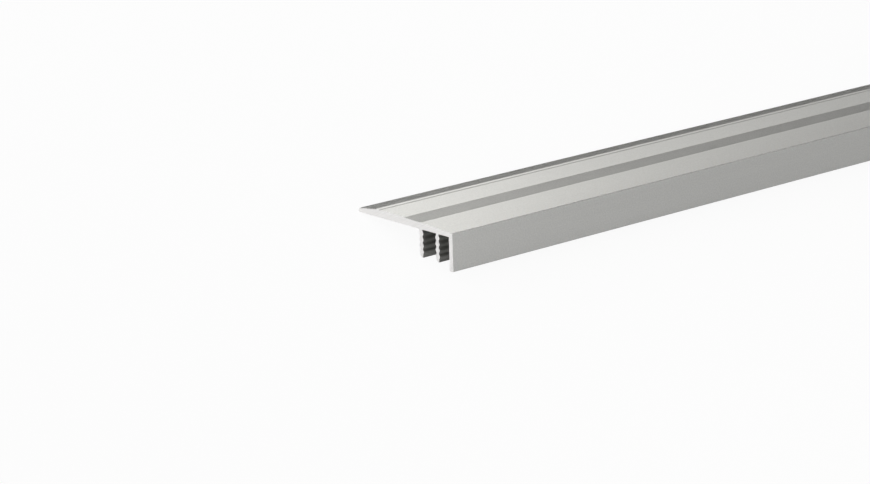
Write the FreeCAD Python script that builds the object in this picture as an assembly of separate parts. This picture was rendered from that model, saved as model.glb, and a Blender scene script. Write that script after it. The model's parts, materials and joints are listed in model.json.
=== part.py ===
import FreeCAD, Part
import math
import os

# Cover profile of a clip-on stair nosing, extruded in one piece from aluminium.
# The section is drawn upright in the Y-Z plane and swept along X.
# Y = 0 is the outer face of the nose, and Y grows towards the thin rear edge.
# Z = 0 is the flat underside of the cover plate, and the fascia and legs hang below it.
# The finished bar is then tipped back about its length onto the two edges it rests on.

# Stock
profile_length = 900.0

# Cover plate, thickest at the crest: its top is crowned down to the nose and slopes to the rear edge
cover_width = 46.0
plate_thickness = 2.55
crown_fall = 1.1
rear_edge_thickness = 1.4
ramp_width = 8.65
rear_top_radius = 1.1
rear_bottom_radius = 0.4

# Smooth front land and fluted middle band, measured rearwards from the nose
front_land_width = 15.15
fluted_band_width = 8.05

# Thin line that sets the crest apart from the rear land
crest_width = 2.0
crest_groove_width = 0.45
crest_groove_depth = 0.25

# Anti-slip flutes, narrower on the middle band than on the rear ramp
flute_pitch = 0.8
band_flute_width = 0.4
band_flute_depth = 0.2
ramp_flute_width = 0.6
ramp_flute_depth = 0.3

# Fascia that hangs in front of the step
fascia_thickness = 1.7
fascia_drop = 11.0
nose_radius = 0.25
fascia_edge_radius = 0.3
inside_corner_radius = 0.3

# Two clip legs, ribbed on both sides
leg_drop = 9.2
leg_core = 1.2
front_leg_centre = 7.25
rear_leg_centre = 15.0
rib_pitch = 2.0
rib_height = 0.38
rib_count = 4
first_rib_drop = 1.3
leg_tip_width = 0.5
leg_tip_radius = 0.18
leg_lead_in = 0.75

# Edges shorter than this come from rounding alone, where two rounds meet, and are left out
shortest_edge = 0.0000001


def spot(y, z):
    return FreeCAD.Vector(0, y, z)


def line(start, end):
    return Part.LineSegment(start, end).toShape()


def arc(start, middle, end):
    return Part.Arc(start, middle, end).toShape()


def corner_round(before, corner, after, radius):
    """Return the start, middle, end and centre of the arc that rounds a corner."""
    to_before = (before - corner).normalize()
    to_after = (after - corner).normalize()
    half_angle = to_before.getAngle(to_after) / 2
    setback = radius / math.tan(half_angle)
    inward = (to_before + to_after).normalize()
    centre = corner + inward * (radius / math.sin(half_angle))
    return corner + to_before * setback, centre - inward * radius, corner + to_after * setback, centre


def rounded_path(corners):
    """Join (point, radius) corners by straight edges, and round each inner corner that has a radius."""
    edges = []
    here = corners[0][0]
    for index in range(1, len(corners)):
        corner, radius = corners[index]
        start, middle, end = corner, corner, corner
        if radius > 0:
            before, after = corners[index - 1][0], corners[index + 1][0]
            start, middle, end, _ = corner_round(before, corner, after, radius)
        if here.distanceToPoint(start) > shortest_edge:
            edges.append(line(here, start))
        if radius > 0:
            edges.append(arc(start, middle, end))
        here = end
    return edges


# The crown is one large arc that is level at the crest

crest = spot(cover_width - ramp_width, plate_thickness)
crown_radius = (crest.y ** 2 + crown_fall ** 2) / (2 * crown_fall)
crown_centre = crest - spot(0, crown_radius)


def crown_spot(y):
    return spot(y, crown_centre.z + math.sqrt(crown_radius ** 2 - (crown_centre.y - y) ** 2))


def crown_arc(rear_y, front_y):
    return arc(crown_spot(rear_y), crown_spot((rear_y + front_y) / 2), crown_spot(front_y))


# Named corners of the section

fascia_outer_foot = spot(0, -fascia_drop)
fascia_inner_foot = spot(fascia_thickness, -fascia_drop)
fascia_root = spot(fascia_thickness, 0)
band_front = crown_spot(front_land_width)
band_rear = crown_spot(front_land_width + fluted_band_width)
rear_top = spot(cover_width, rear_edge_thickness)
rear_bottom = spot(cover_width, 0)


def nose_edges():
    """From the fluted band over the front land and round the nose, tangent to crown and fascia."""
    reach = crown_radius - nose_radius
    centre = spot(nose_radius, crown_centre.z + math.sqrt(reach ** 2 - (crown_centre.y - nose_radius) ** 2))
    from_crown = (centre - crown_centre).normalize()
    halfway = (from_crown + spot(-1, 0)).normalize()
    land_end = centre + from_crown * nose_radius
    fascia_top = spot(0, centre.z)
    nose_round = arc(land_end, centre + halfway * nose_radius, fascia_top)
    return [crown_arc(band_front.y, land_end.y), nose_round], fascia_top


def fascia_edges(fascia_top, front_leg_root):
    """From the nose down the fascia, round its foot and up its back, to the front leg."""
    foot_radius = min(fascia_edge_radius, fascia_thickness / 2)
    return rounded_path([
        (fascia_top, 0),
        (fascia_outer_foot, foot_radius),
        (fascia_inner_foot, foot_radius),
        (fascia_root, inside_corner_radius),
        (front_leg_root, 0),
    ])


def rib_wave(face_y, outward, filled_root):
    """Ribs of one leg side, from the root down, as tangent arcs that stand out from the leg's face.

    A filled root runs down at full rib height to the first rib, and an open one starts in a trough.
    Return the edges and the point halfway down the last rib's lower flank.
    """
    quarter = rib_pitch / 4
    turn = 2 * math.atan(rib_height / 2 / quarter)
    bend = quarter / math.sin(turn)
    bow = outward * bend * (1 - math.cos(turn / 2))
    step = bend * math.sin(turn / 2)
    middle_y = face_y + outward * rib_height / 2
    crest_y = face_y + outward * rib_height
    trough_z = rib_pitch / 2 - first_rib_drop
    edges = []
    if filled_root:
        edges.append(arc(
            spot(crest_y, -first_rib_drop),
            spot(crest_y - bow, -first_rib_drop - step),
            spot(middle_y, -first_rib_drop - quarter)))
    else:
        edges.append(line(spot(face_y, 0), spot(face_y, trough_z)))
        edges.append(arc(
            spot(face_y, trough_z),
            spot(face_y + bow, trough_z - step),
            spot(middle_y, trough_z - quarter)))
        edges.append(wave_arc(middle_y, crest_y, -first_rib_drop))
    for rib in range(1, rib_count):
        rib_z = -first_rib_drop - rib * rib_pitch
        edges.append(wave_arc(middle_y, face_y, rib_z + rib_pitch / 2))
        edges.append(wave_arc(middle_y, crest_y, rib_z))
    return edges, spot(middle_y, -first_rib_drop - (rib_count - 1) * rib_pitch - quarter)


def wave_arc(middle_y, top_y, centre_z):
    """One arc of the wave, from mid height over its crest or trough and back to mid height."""
    quarter = rib_pitch / 4
    return arc(spot(middle_y, centre_z + quarter), spot(top_y, centre_z), spot(middle_y, centre_z - quarter))


def leg_tip_corners(centre_y, front_end, rear_end):
    """The leg ends square in front and slopes at the rear, so that it finds its way into the base."""
    front_y = centre_y - leg_core / 2
    rear_y = centre_y + leg_core / 2
    return [
        (front_end, 0),
        (spot(front_y, front_end.z - rib_pitch / 4), 0),
        (spot(front_y, -leg_drop), leg_tip_radius),
        (spot(front_y + leg_tip_width, -leg_drop), leg_tip_radius),
        (spot(rear_y, -leg_drop + leg_lead_in), 0),
        (rear_end, 0),
    ]


def leg_edges(centre_y, filled_root):
    """Both ribbed sides of a clip leg and its tip, with the corners of the tip."""
    front_side, front_end = rib_wave(centre_y - leg_core / 2, -1, False)
    rear_side, rear_end = rib_wave(centre_y + leg_core / 2, 1, filled_root)
    tip_corners = leg_tip_corners(centre_y, front_end, rear_end)
    return front_side + rounded_path(tip_corners) + rear_side, tip_corners


def fluted_corners(start, end, flute_width, flute_depth):
    """Corners of the V flutes that fill a straight stretch of the tread, from its start to its end."""
    length = (end - start).Length
    along = (end - start).normalize()
    into_metal = FreeCAD.Vector(1, 0, 0).cross(along)
    count = int((length - flute_width) / flute_pitch) + 1
    margin = (length - flute_width - (count - 1) * flute_pitch) / 2
    corners = []
    for flute in range(count):
        mouth = start + along * (margin + flute * flute_pitch)
        corners.append((mouth, 0))
        corners.append((mouth + along * (flute_width / 2) + into_metal * flute_depth, 0))
        corners.append((mouth + along * flute_width, 0))
    corners.append((end, 0))
    return corners


def crest_and_land_edges():
    """From the crest over the fine V groove and the rear land to the fluted band."""
    middle_y = crest.y - crest_width
    rear_lip = crown_spot(middle_y + crest_groove_width / 2)
    bottom = crown_spot(middle_y) - spot(0, crest_groove_depth)
    front_lip = crown_spot(middle_y - crest_groove_width / 2)
    return [
        crown_arc(crest.y, rear_lip.y),
        line(rear_lip, bottom),
        line(bottom, front_lip),
        crown_arc(front_lip.y, band_rear.y),
    ]


def rear_top_round():
    return min(rear_top_radius, rear_edge_thickness - rear_bottom_radius)


def flange_and_ramp_edges(root):
    """From the rear leg along the underside, round the rear edge, and up the fluted ramp to the crest."""
    ramp_start = corner_round(rear_bottom, rear_top, crest, rear_top_round())[2]
    corners = [
        (spot(root.y, -first_rib_drop), 0),
        (root, inside_corner_radius),
        (rear_bottom, rear_bottom_radius),
        (rear_top, rear_top_round()),
    ]
    corners += fluted_corners(ramp_start, crest, ramp_flute_width, ramp_flute_depth)
    return rounded_path(corners)


def rest_angle(tip_corners, root):
    """Angle of the line that touches the rear leg's tip and the rear edge from below."""
    before, corner, after = tip_corners[2][0], tip_corners[3][0], tip_corners[4][0]
    tip_centre = corner_round(before, corner, after, leg_tip_radius)[3]
    rear_centre = corner_round(root, rear_bottom, rear_top, rear_bottom_radius)[3]
    reach = rear_centre - tip_centre
    slope = math.atan2(reach.z, reach.y)
    return slope + math.asin((leg_tip_radius - rear_bottom_radius) / reach.Length)


def nosing_profile():
    front_leg, _ = leg_edges(front_leg_centre, False)
    rear_leg, tip_corners = leg_edges(rear_leg_centre, True)
    front_leg_front = spot(front_leg_centre - leg_core / 2, 0)
    front_leg_rear = spot(front_leg_centre + leg_core / 2, 0)
    rear_leg_front = spot(rear_leg_centre - leg_core / 2, 0)
    rear_leg_rear = spot(rear_leg_centre + leg_core / 2 + rib_height, 0)
    nose, fascia_top = nose_edges()
    edges = nose + fascia_edges(fascia_top, front_leg_front) + front_leg
    edges.append(line(front_leg_rear, rear_leg_front))
    edges += rear_leg + flange_and_ramp_edges(rear_leg_rear)
    edges += crest_and_land_edges()
    band_corners = fluted_corners(band_rear, band_front, band_flute_width, band_flute_depth)
    edges += rounded_path([(band_rear, 0)] + band_corners)
    section = Part.Face(Part.Wire(Part.__sortEdges__(edges)))
    bar = section.extrude(FreeCAD.Vector(profile_length, 0, 0))
    tip_back = -math.degrees(rest_angle(tip_corners, rear_leg_rear))
    bar.rotate(FreeCAD.Vector(0, 0, 0), FreeCAD.Vector(1, 0, 0), tip_back)
    box = bar.optimalBoundingBox(False, False)
    bar.translate(FreeCAD.Vector(-box.Center.x, -box.Center.y, -box.ZMin))
    return bar


os.makedirs("parts", exist_ok=True)
nosing_profile().exportStep("parts/nosing_profile.step")
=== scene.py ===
import json
import math
import bpy
from mathutils import Matrix, Vector


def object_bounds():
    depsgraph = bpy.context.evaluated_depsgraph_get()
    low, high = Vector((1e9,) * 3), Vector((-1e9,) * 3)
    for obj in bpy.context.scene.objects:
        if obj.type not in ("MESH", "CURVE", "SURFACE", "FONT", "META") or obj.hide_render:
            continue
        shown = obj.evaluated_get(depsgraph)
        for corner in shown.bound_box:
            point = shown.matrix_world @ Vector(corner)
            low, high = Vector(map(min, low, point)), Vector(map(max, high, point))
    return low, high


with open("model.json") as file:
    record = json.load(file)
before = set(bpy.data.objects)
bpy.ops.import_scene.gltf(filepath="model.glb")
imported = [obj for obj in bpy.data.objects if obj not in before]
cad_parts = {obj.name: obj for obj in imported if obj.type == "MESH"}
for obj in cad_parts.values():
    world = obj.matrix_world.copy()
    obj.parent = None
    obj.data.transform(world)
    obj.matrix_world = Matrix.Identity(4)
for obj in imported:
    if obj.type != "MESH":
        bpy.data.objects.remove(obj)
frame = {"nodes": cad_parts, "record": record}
cad_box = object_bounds()

# Camera, held against the level section: metres from the sawn end, from the fascia and from the plate's
# underside, then degrees, pixels and millimetres
CAMERA_PLACE = (-0.52839, -0.62629, 0.22706)
CAMERA_BEARING = 50.2231
CAMERA_DIP = 15.5568
CAMERA_ROLL = -1.8428
FOCAL_PIXELS = 2760.1
PHOTO_WIDTH = 870
SENSOR_WIDTH = 36.0

# The nearest and the farthest thing that the camera sees, in metres
CAMERA_CLIP = (0.01, 50)

# Finishes, as linear colours
ANODISED_SILVER = (0.57, 0.57, 0.553, 1)
ANODISED_LINE = (0.506, 0.506, 0.491, 1)
# Painted shade: a darker colour for the faces in the channel under the plate, where shade falls
CHANNEL_PAINTED_SHADE = (0.34, 0.34, 0.325, 1)
# Painted highlight: a lighter colour along the rounded nose edge
NOSE_PAINTED_HIGHLIGHT = (0.92, 0.915, 0.895, 1)
SAWN_METAL = (0.95, 0.94, 0.93, 1)
SAWN_LINE = (0.91, 0.90, 0.89, 1)
FLOOR_PAPER = (0.86, 0.86, 0.86, 1)
STUDIO_WHITE = (1, 1, 1, 1)
WARM_WHITE = (1, 0.987, 0.955, 1)

# Roughness of the anodised film and of the sawn ends, and what the channel adds to the film's
FILM_ROUGHNESS = 0.37
SAWN_ROUGHNESS = 0.52
CHANNEL_DULLNESS = 0.2

# Where the channel's painted shade and dullness and the nose edge's painted highlight start and where they
# are full, in metres above the plate's underside or behind the fascia
CHANNEL_HEIGHT = (0.0001, -0.0009)
CHANNEL_DEPTH = (0.0017, 0.0019)
NOSE_EDGE_HEIGHT = (0.0012, 0.0013)
NOSE_EDGE_DEPTH = (0.0004, 0.00025)

# How far a face looks along the bar where the sawn finish starts and where it is full
SAWN_FACING = (0.6, 0.9)

# Patterns of the finishes: waves in each metre along the bar, rearwards and upwards, and the noise's form
EXTRUSION_LINES = {"waves": (9.0, 2600.0, 2600.0), "detail": 3.0, "roughness": 0.6}
FILM_CLOUD = {"waves": (9.0, 120.0, 120.0), "detail": 2.0, "roughness": 0.5}
FILM_GRAIN = {"waves": (1900.0, 1900.0, 1900.0), "detail": 3.0, "roughness": 0.7}
SAW_MARKS = {"waves": (1.0, 2200.0, 140.0), "detail": 3.0, "roughness": 0.65, "slant": 62}

# The pattern values that come out as the line's colour and as the plain colour
FILM_CONTRAST = (0.38, 0.62)
SAWN_CONTRAST = (0.35, 0.65)

# The patterns' relief: its strength, and its depth in metres
RELIEF_STRENGTH = 0.22
RELIEF_DEPTH = 0.00004

# The floor: half its width in metres, and the share of plain white that the eye and the metal see in it
FLOOR_REACH = 12.0
WHITE_TO_THE_EYE = 0.94
WHITE_TO_THE_METAL = 0.15

# Soft lamps: the place they face, in metres from the sawn end, then for each its name, bearing and height in
# degrees, distance and size in metres, and watts
LAMPS_INSET = 0.05
STUDIO_LAMPS = [
    ("tread_fill", 70, 20, 0.45, 0.3, 0.09),
    ("ramp_softbox", 90, 60, 0.45, 0.3, 0.26),
    ("fascia_softbox", -90, 20, 0.45, 0.3, 0.26),
]

# The sky: its brightness at the horizon, and the share of that which is left at each sine of the height
HORIZON = 0.95
SKY_FADE = [(0.0, 1.0), (0.1, 1.0), (0.2, 0.0)]

# Soft cards on the sky: bearing, height, core and edge in degrees, then strength. The tread's cards are a
# little warmer than the others
TREAD_CARDS = [
    (60, 22, 8, 20, 1.06),
    (70, 20, 8, 20, 1.62),
]
WHITE_CARDS = [
    (-90, 20, 10, 30, 1.1),
    (-100, 40, 20, 45, 0.2),
    (180, 40, 30, 75, 0.3),
    (140, 18, 25, 50, 1.45),
    (100, 50, 20, 45, 0.2),
    (-42, 36, 8, 22, 0.4),
    (-5, 50, 10, 28, 0.08),
]


def section_pose(profile):
    """The move from the section as drawn (x from the sawn end, y from the fascia's outer face, z from the
    plate's underside) to the bar lying tipped back on its rear leg and rear edge."""
    seat = next(m for m in frame["record"]["mounts"] if m["name"] == "rear_flange_underside")
    down = Vector(seat["axis"])
    tipped = Matrix.Rotation(-math.atan2(-down.y, -down.z), 4, "X")
    level = [tipped.inverted() @ v.co for v in profile.data.vertices]
    underside = (tipped.inverted() @ Vector(seat["pos_m"])).z
    corner = Vector((min(p.x for p in level), min(p.y for p in level), underside))
    return tipped @ Matrix.Translation(corner)


def heading(bearing, height):
    """The direction that points to that bearing and height, both in degrees."""
    bearing, height = math.radians(bearing), math.radians(height)
    level = Vector((math.cos(bearing), math.sin(bearing), 0))
    return level * math.cos(height) + Vector((0, 0, math.sin(height)))


class Value:
    """A shader socket that takes part in sums: each operator adds one Math node."""

    def __init__(self, nodes, socket):
        self.nodes, self.socket = nodes, socket

    def math(self, operation, *others):
        inputs = dict(enumerate([self, *others]))
        return self.nodes.add("ShaderNodeMath", {"operation": operation}, inputs)

    def __add__(self, other):
        return self.math("ADD", other)

    def __mul__(self, other):
        return self.math("MULTIPLY", other)

    def __sub__(self, other):
        return self.math("SUBTRACT", other)

    def __rsub__(self, other):
        return self.nodes.add("ShaderNodeMath", {"operation": "SUBTRACT"}, {0: other, 1: self})

    __radd__ = __add__
    __rmul__ = __mul__


class Nodes:
    """The node tree of one finish, or of the sky."""

    def __init__(self, owner):
        owner.use_nodes = True
        self.tree = owner.node_tree
        self.tree.nodes.clear()

    def add(self, kind, settings=None, inputs=None, output=0):
        """Add a node of that type, set its settings, then the values or links of its sockets."""
        node = self.tree.nodes.new(kind)
        for name, value in (settings or {}).items():
            if name == "stops":
                self.set_stops(node.color_ramp, value)
            else:
                setattr(node, name, value)
        for name, value in (inputs or {}).items():
            if isinstance(value, Value):
                self.tree.links.new(value.socket, node.inputs[name])
            else:
                node.inputs[name].default_value = value
        return Value(self, node.outputs[output]) if node.outputs else node

    def set_stops(self, ramp, stops):
        while len(ramp.elements) < len(stops):
            ramp.elements.new(0.5)
        for element, (place, shade) in zip(ramp.elements, stops):
            element.position, element.color = place, (shade, shade, shade, 1)

    def mix(self, amount, first, second):
        settings = {"data_type": "RGBA", "clamp_factor": True}
        return self.add("ShaderNodeMix", settings, {"Factor": amount, 6: first, 7: second}, 2)

    def step(self, value, start, full):
        """0 up to the start, 1 from full on, smooth between. Full may lie on either side of the start."""
        inputs = {"Value": value, "From Min": start, "From Max": full}
        return self.add("ShaderNodeMapRange", {"interpolation_type": "SMOOTHSTEP"}, inputs)

    def pattern(self, place, waves, detail, roughness, slant=0):
        """Noise with that many waves in each metre, turned about the bar's length by a slant in degrees."""
        lengths = [1 / count for count in waves]
        waved = self.add("ShaderNodeMapping", {"vector_type": "TEXTURE"}, {
            "Vector": place, "Rotation": (math.radians(slant), 0, 0), "Scale": lengths})
        return self.add("ShaderNodeTexNoise", {}, {
            "Vector": waved, "Scale": 1.0, "Detail": detail, "Roughness": roughness})

    def finish(self, shader, kind="ShaderNodeOutputMaterial"):
        self.add(kind, {}, {"Surface": shader})


def anodised_aluminium(pose):
    """Satin silver anodising with lengthwise extrusion lines, painted shade on the faces in the channel
    under the plate behind the fascia, a painted highlight along the nose edge, and bare sawn metal on the
    two cut ends.
    """
    material = bpy.data.materials.new("anodised_aluminium")
    nodes = Nodes(material)
    place = nodes.add("ShaderNodeTexCoord", {}, {}, "Object")
    normal = nodes.add("ShaderNodeTexCoord", {}, {}, "Normal")
    end_normal = nodes.add("ShaderNodeSeparateXYZ", {}, {0: normal})
    cut = nodes.step(end_normal.math("ABSOLUTE"), *SAWN_FACING)

    level = nodes.add("ShaderNodeMapping", {"vector_type": "TEXTURE"}, {
        "Vector": place, "Location": pose.translation, "Rotation": pose.to_euler()})
    behind = nodes.add("ShaderNodeSeparateXYZ", {}, {0: level}, 1)
    above = nodes.add("ShaderNodeSeparateXYZ", {}, {0: level}, 2)
    # The channel under the plate behind the fascia, where painted shade darkens the colour and the film is
    # duller
    channel = nodes.step(above, *CHANNEL_HEIGHT) * nodes.step(behind, *CHANNEL_DEPTH)
    # The rounded nose edge, where a painted highlight lightens the colour
    nose = nodes.step(above, *NOSE_EDGE_HEIGHT) * nodes.step(behind, *NOSE_EDGE_DEPTH)

    lines = nodes.pattern(level, **EXTRUSION_LINES)
    cloud = nodes.pattern(level, **FILM_CLOUD)
    grain = nodes.pattern(level, **FILM_GRAIN)
    saw_marks = nodes.pattern(level, **SAW_MARKS)

    fleck = nodes.step(lines * 0.15 + cloud * 0.1 + grain * 0.75, *FILM_CONTRAST)
    film = nodes.mix(fleck, ANODISED_LINE, ANODISED_SILVER)
    # Painted shade in the channel under the plate
    film = nodes.mix(channel, film, CHANNEL_PAINTED_SHADE)
    # Painted highlight along the nose edge
    film = nodes.mix(nose, film, NOSE_PAINTED_HIGHLIGHT)
    bare = nodes.mix(nodes.step(saw_marks, *SAWN_CONTRAST), SAWN_LINE, SAWN_METAL)
    colour = nodes.mix(cut, film, bare)
    satin = FILM_ROUGHNESS + cloud * 0.08 + lines * 0.03 + channel * CHANNEL_DULLNESS
    roughness = satin + cut * (SAWN_ROUGHNESS + saw_marks * 0.1 - satin)
    relief = (lines * 0.12 + grain * 3.0) * (1 - cut) + saw_marks * cut * 0.3
    bump = nodes.add("ShaderNodeBump", {}, {
        "Height": relief, "Strength": RELIEF_STRENGTH, "Distance": RELIEF_DEPTH})
    nodes.finish(nodes.add("ShaderNodeBsdfPrincipled", {}, {
        "Base Color": colour, "Metallic": 1.0, "Roughness": roughness, "Normal": bump}))
    return material


def place_camera(pose):
    """The photograph's camera, held in the level section's frame and carried over to the tipped bar."""
    roll = math.radians(CAMERA_ROLL)
    look = heading(CAMERA_BEARING, -CAMERA_DIP)
    level_right = heading(CAMERA_BEARING - 90, 0)
    level_up = level_right.cross(look)
    right = level_right * math.cos(roll) + level_up * math.sin(roll)
    up = right.cross(look)
    stand = Matrix((right, up, -look)).transposed().to_4x4()
    stand.translation = Vector(CAMERA_PLACE)
    data = bpy.data.cameras.new("camera")
    data.sensor_width = SENSOR_WIDTH
    data.lens = FOCAL_PIXELS * SENSOR_WIDTH / PHOTO_WIDTH
    data.clip_start, data.clip_end = CAMERA_CLIP
    camera = bpy.data.objects.new("camera", data)
    bpy.context.scene.collection.objects.link(camera)
    camera.matrix_world = pose @ stand
    bpy.context.scene.camera = camera


def studio_floor():
    """A paper floor that the eye sees as almost plain white, with a trace of the bar's shadow."""
    mesh = bpy.data.meshes.new("studio_floor")
    corners = [(x * FLOOR_REACH, y * FLOOR_REACH, 0) for x, y in ((-1, -1), (1, -1), (1, 1), (-1, 1))]
    mesh.from_pydata(corners, [], [(0, 1, 2, 3)])
    floor = bpy.data.objects.new("studio_floor", mesh)
    bpy.context.scene.collection.objects.link(floor)
    material = bpy.data.materials.new("studio_floor")
    nodes = Nodes(material)
    seen = nodes.add("ShaderNodeLightPath", {}, {}, "Is Camera Ray")
    mirrored = nodes.add("ShaderNodeLightPath", {}, {}, "Is Glossy Ray")
    refracted = nodes.add("ShaderNodeLightPath", {}, {}, "Is Transmission Ray")
    share = seen * WHITE_TO_THE_EYE + mirrored.math("MAXIMUM", refracted) * WHITE_TO_THE_METAL
    paper = nodes.add("ShaderNodeBsdfDiffuse", {}, {"Color": FLOOR_PAPER})
    white = nodes.add("ShaderNodeEmission", {}, {"Color": STUDIO_WHITE, "Strength": 1.0})
    nodes.finish(nodes.add("ShaderNodeMixShader", {}, {0: share, 1: paper, 2: white}))
    mesh.materials.append(material)


def studio_lamp(aim, name, bearing, height, distance, size, watts):
    """A square softbox at that bearing, height and distance from the aim, turned to face it."""
    towards = heading(bearing, height)
    data = bpy.data.lights.new(name, "AREA")
    data.shape, data.size, data.energy = "SQUARE", size, watts
    lamp = bpy.data.objects.new(name, data)
    bpy.context.scene.collection.objects.link(lamp)
    lamp.location = aim + towards * distance
    lamp.rotation_euler = (-towards).to_track_quat("-Z", "Y").to_euler()
    lamp.visible_camera = False


def card_light(nodes, direction, cards, light=0):
    """The light of the soft cards: full inside a card's core, and none beyond its edge."""
    for bearing, height, core, edge, strength in cards:
        settings, inputs = {"operation": "DOT_PRODUCT"}, {0: direction, 1: heading(bearing, height)}
        nearness = nodes.add("ShaderNodeVectorMath", settings, inputs, 1)
        rim, centre = math.cos(math.radians(edge)), math.cos(math.radians(core))
        light = nodes.step(nearness, rim, centre) * strength + light
    return light


def studio_sky():
    """A white horizon under a dark ceiling, with large soft cards that light the bar from end to end."""
    world = bpy.data.worlds.new("studio")
    bpy.context.scene.world = world
    nodes = Nodes(world)
    direction = nodes.add("ShaderNodeTexCoord", {}, {}, "Generated")
    rise = nodes.add("ShaderNodeSeparateXYZ", {}, {0: direction}, 2)
    glow = nodes.add("ShaderNodeValToRGB", {"stops": SKY_FADE}, {0: rise}) * HORIZON
    white = card_light(nodes, direction, WHITE_CARDS, glow)
    warm = card_light(nodes, direction, TREAD_CARDS)
    white_sky = nodes.add("ShaderNodeBackground", {}, {"Color": STUDIO_WHITE, "Strength": white})
    warm_sky = nodes.add("ShaderNodeBackground", {}, {"Color": WARM_WHITE, "Strength": warm})
    nodes.finish(nodes.add("ShaderNodeAddShader", {}, {0: white_sky, 1: warm_sky}), "ShaderNodeOutputWorld")


profile = frame["nodes"]["nosing_profile"]
pose = section_pose(profile)
profile.data.materials.clear()
profile.data.materials.append(anodised_aluminium(pose))
place_camera(pose)
studio_floor()
studio_sky()
lamps_aim = Vector((cad_box[0][0] + LAMPS_INSET, 0, 0))
for lamp in STUDIO_LAMPS:
    studio_lamp(lamps_aim, *lamp)
bpy.context.scene.view_settings.view_transform = "Standard"
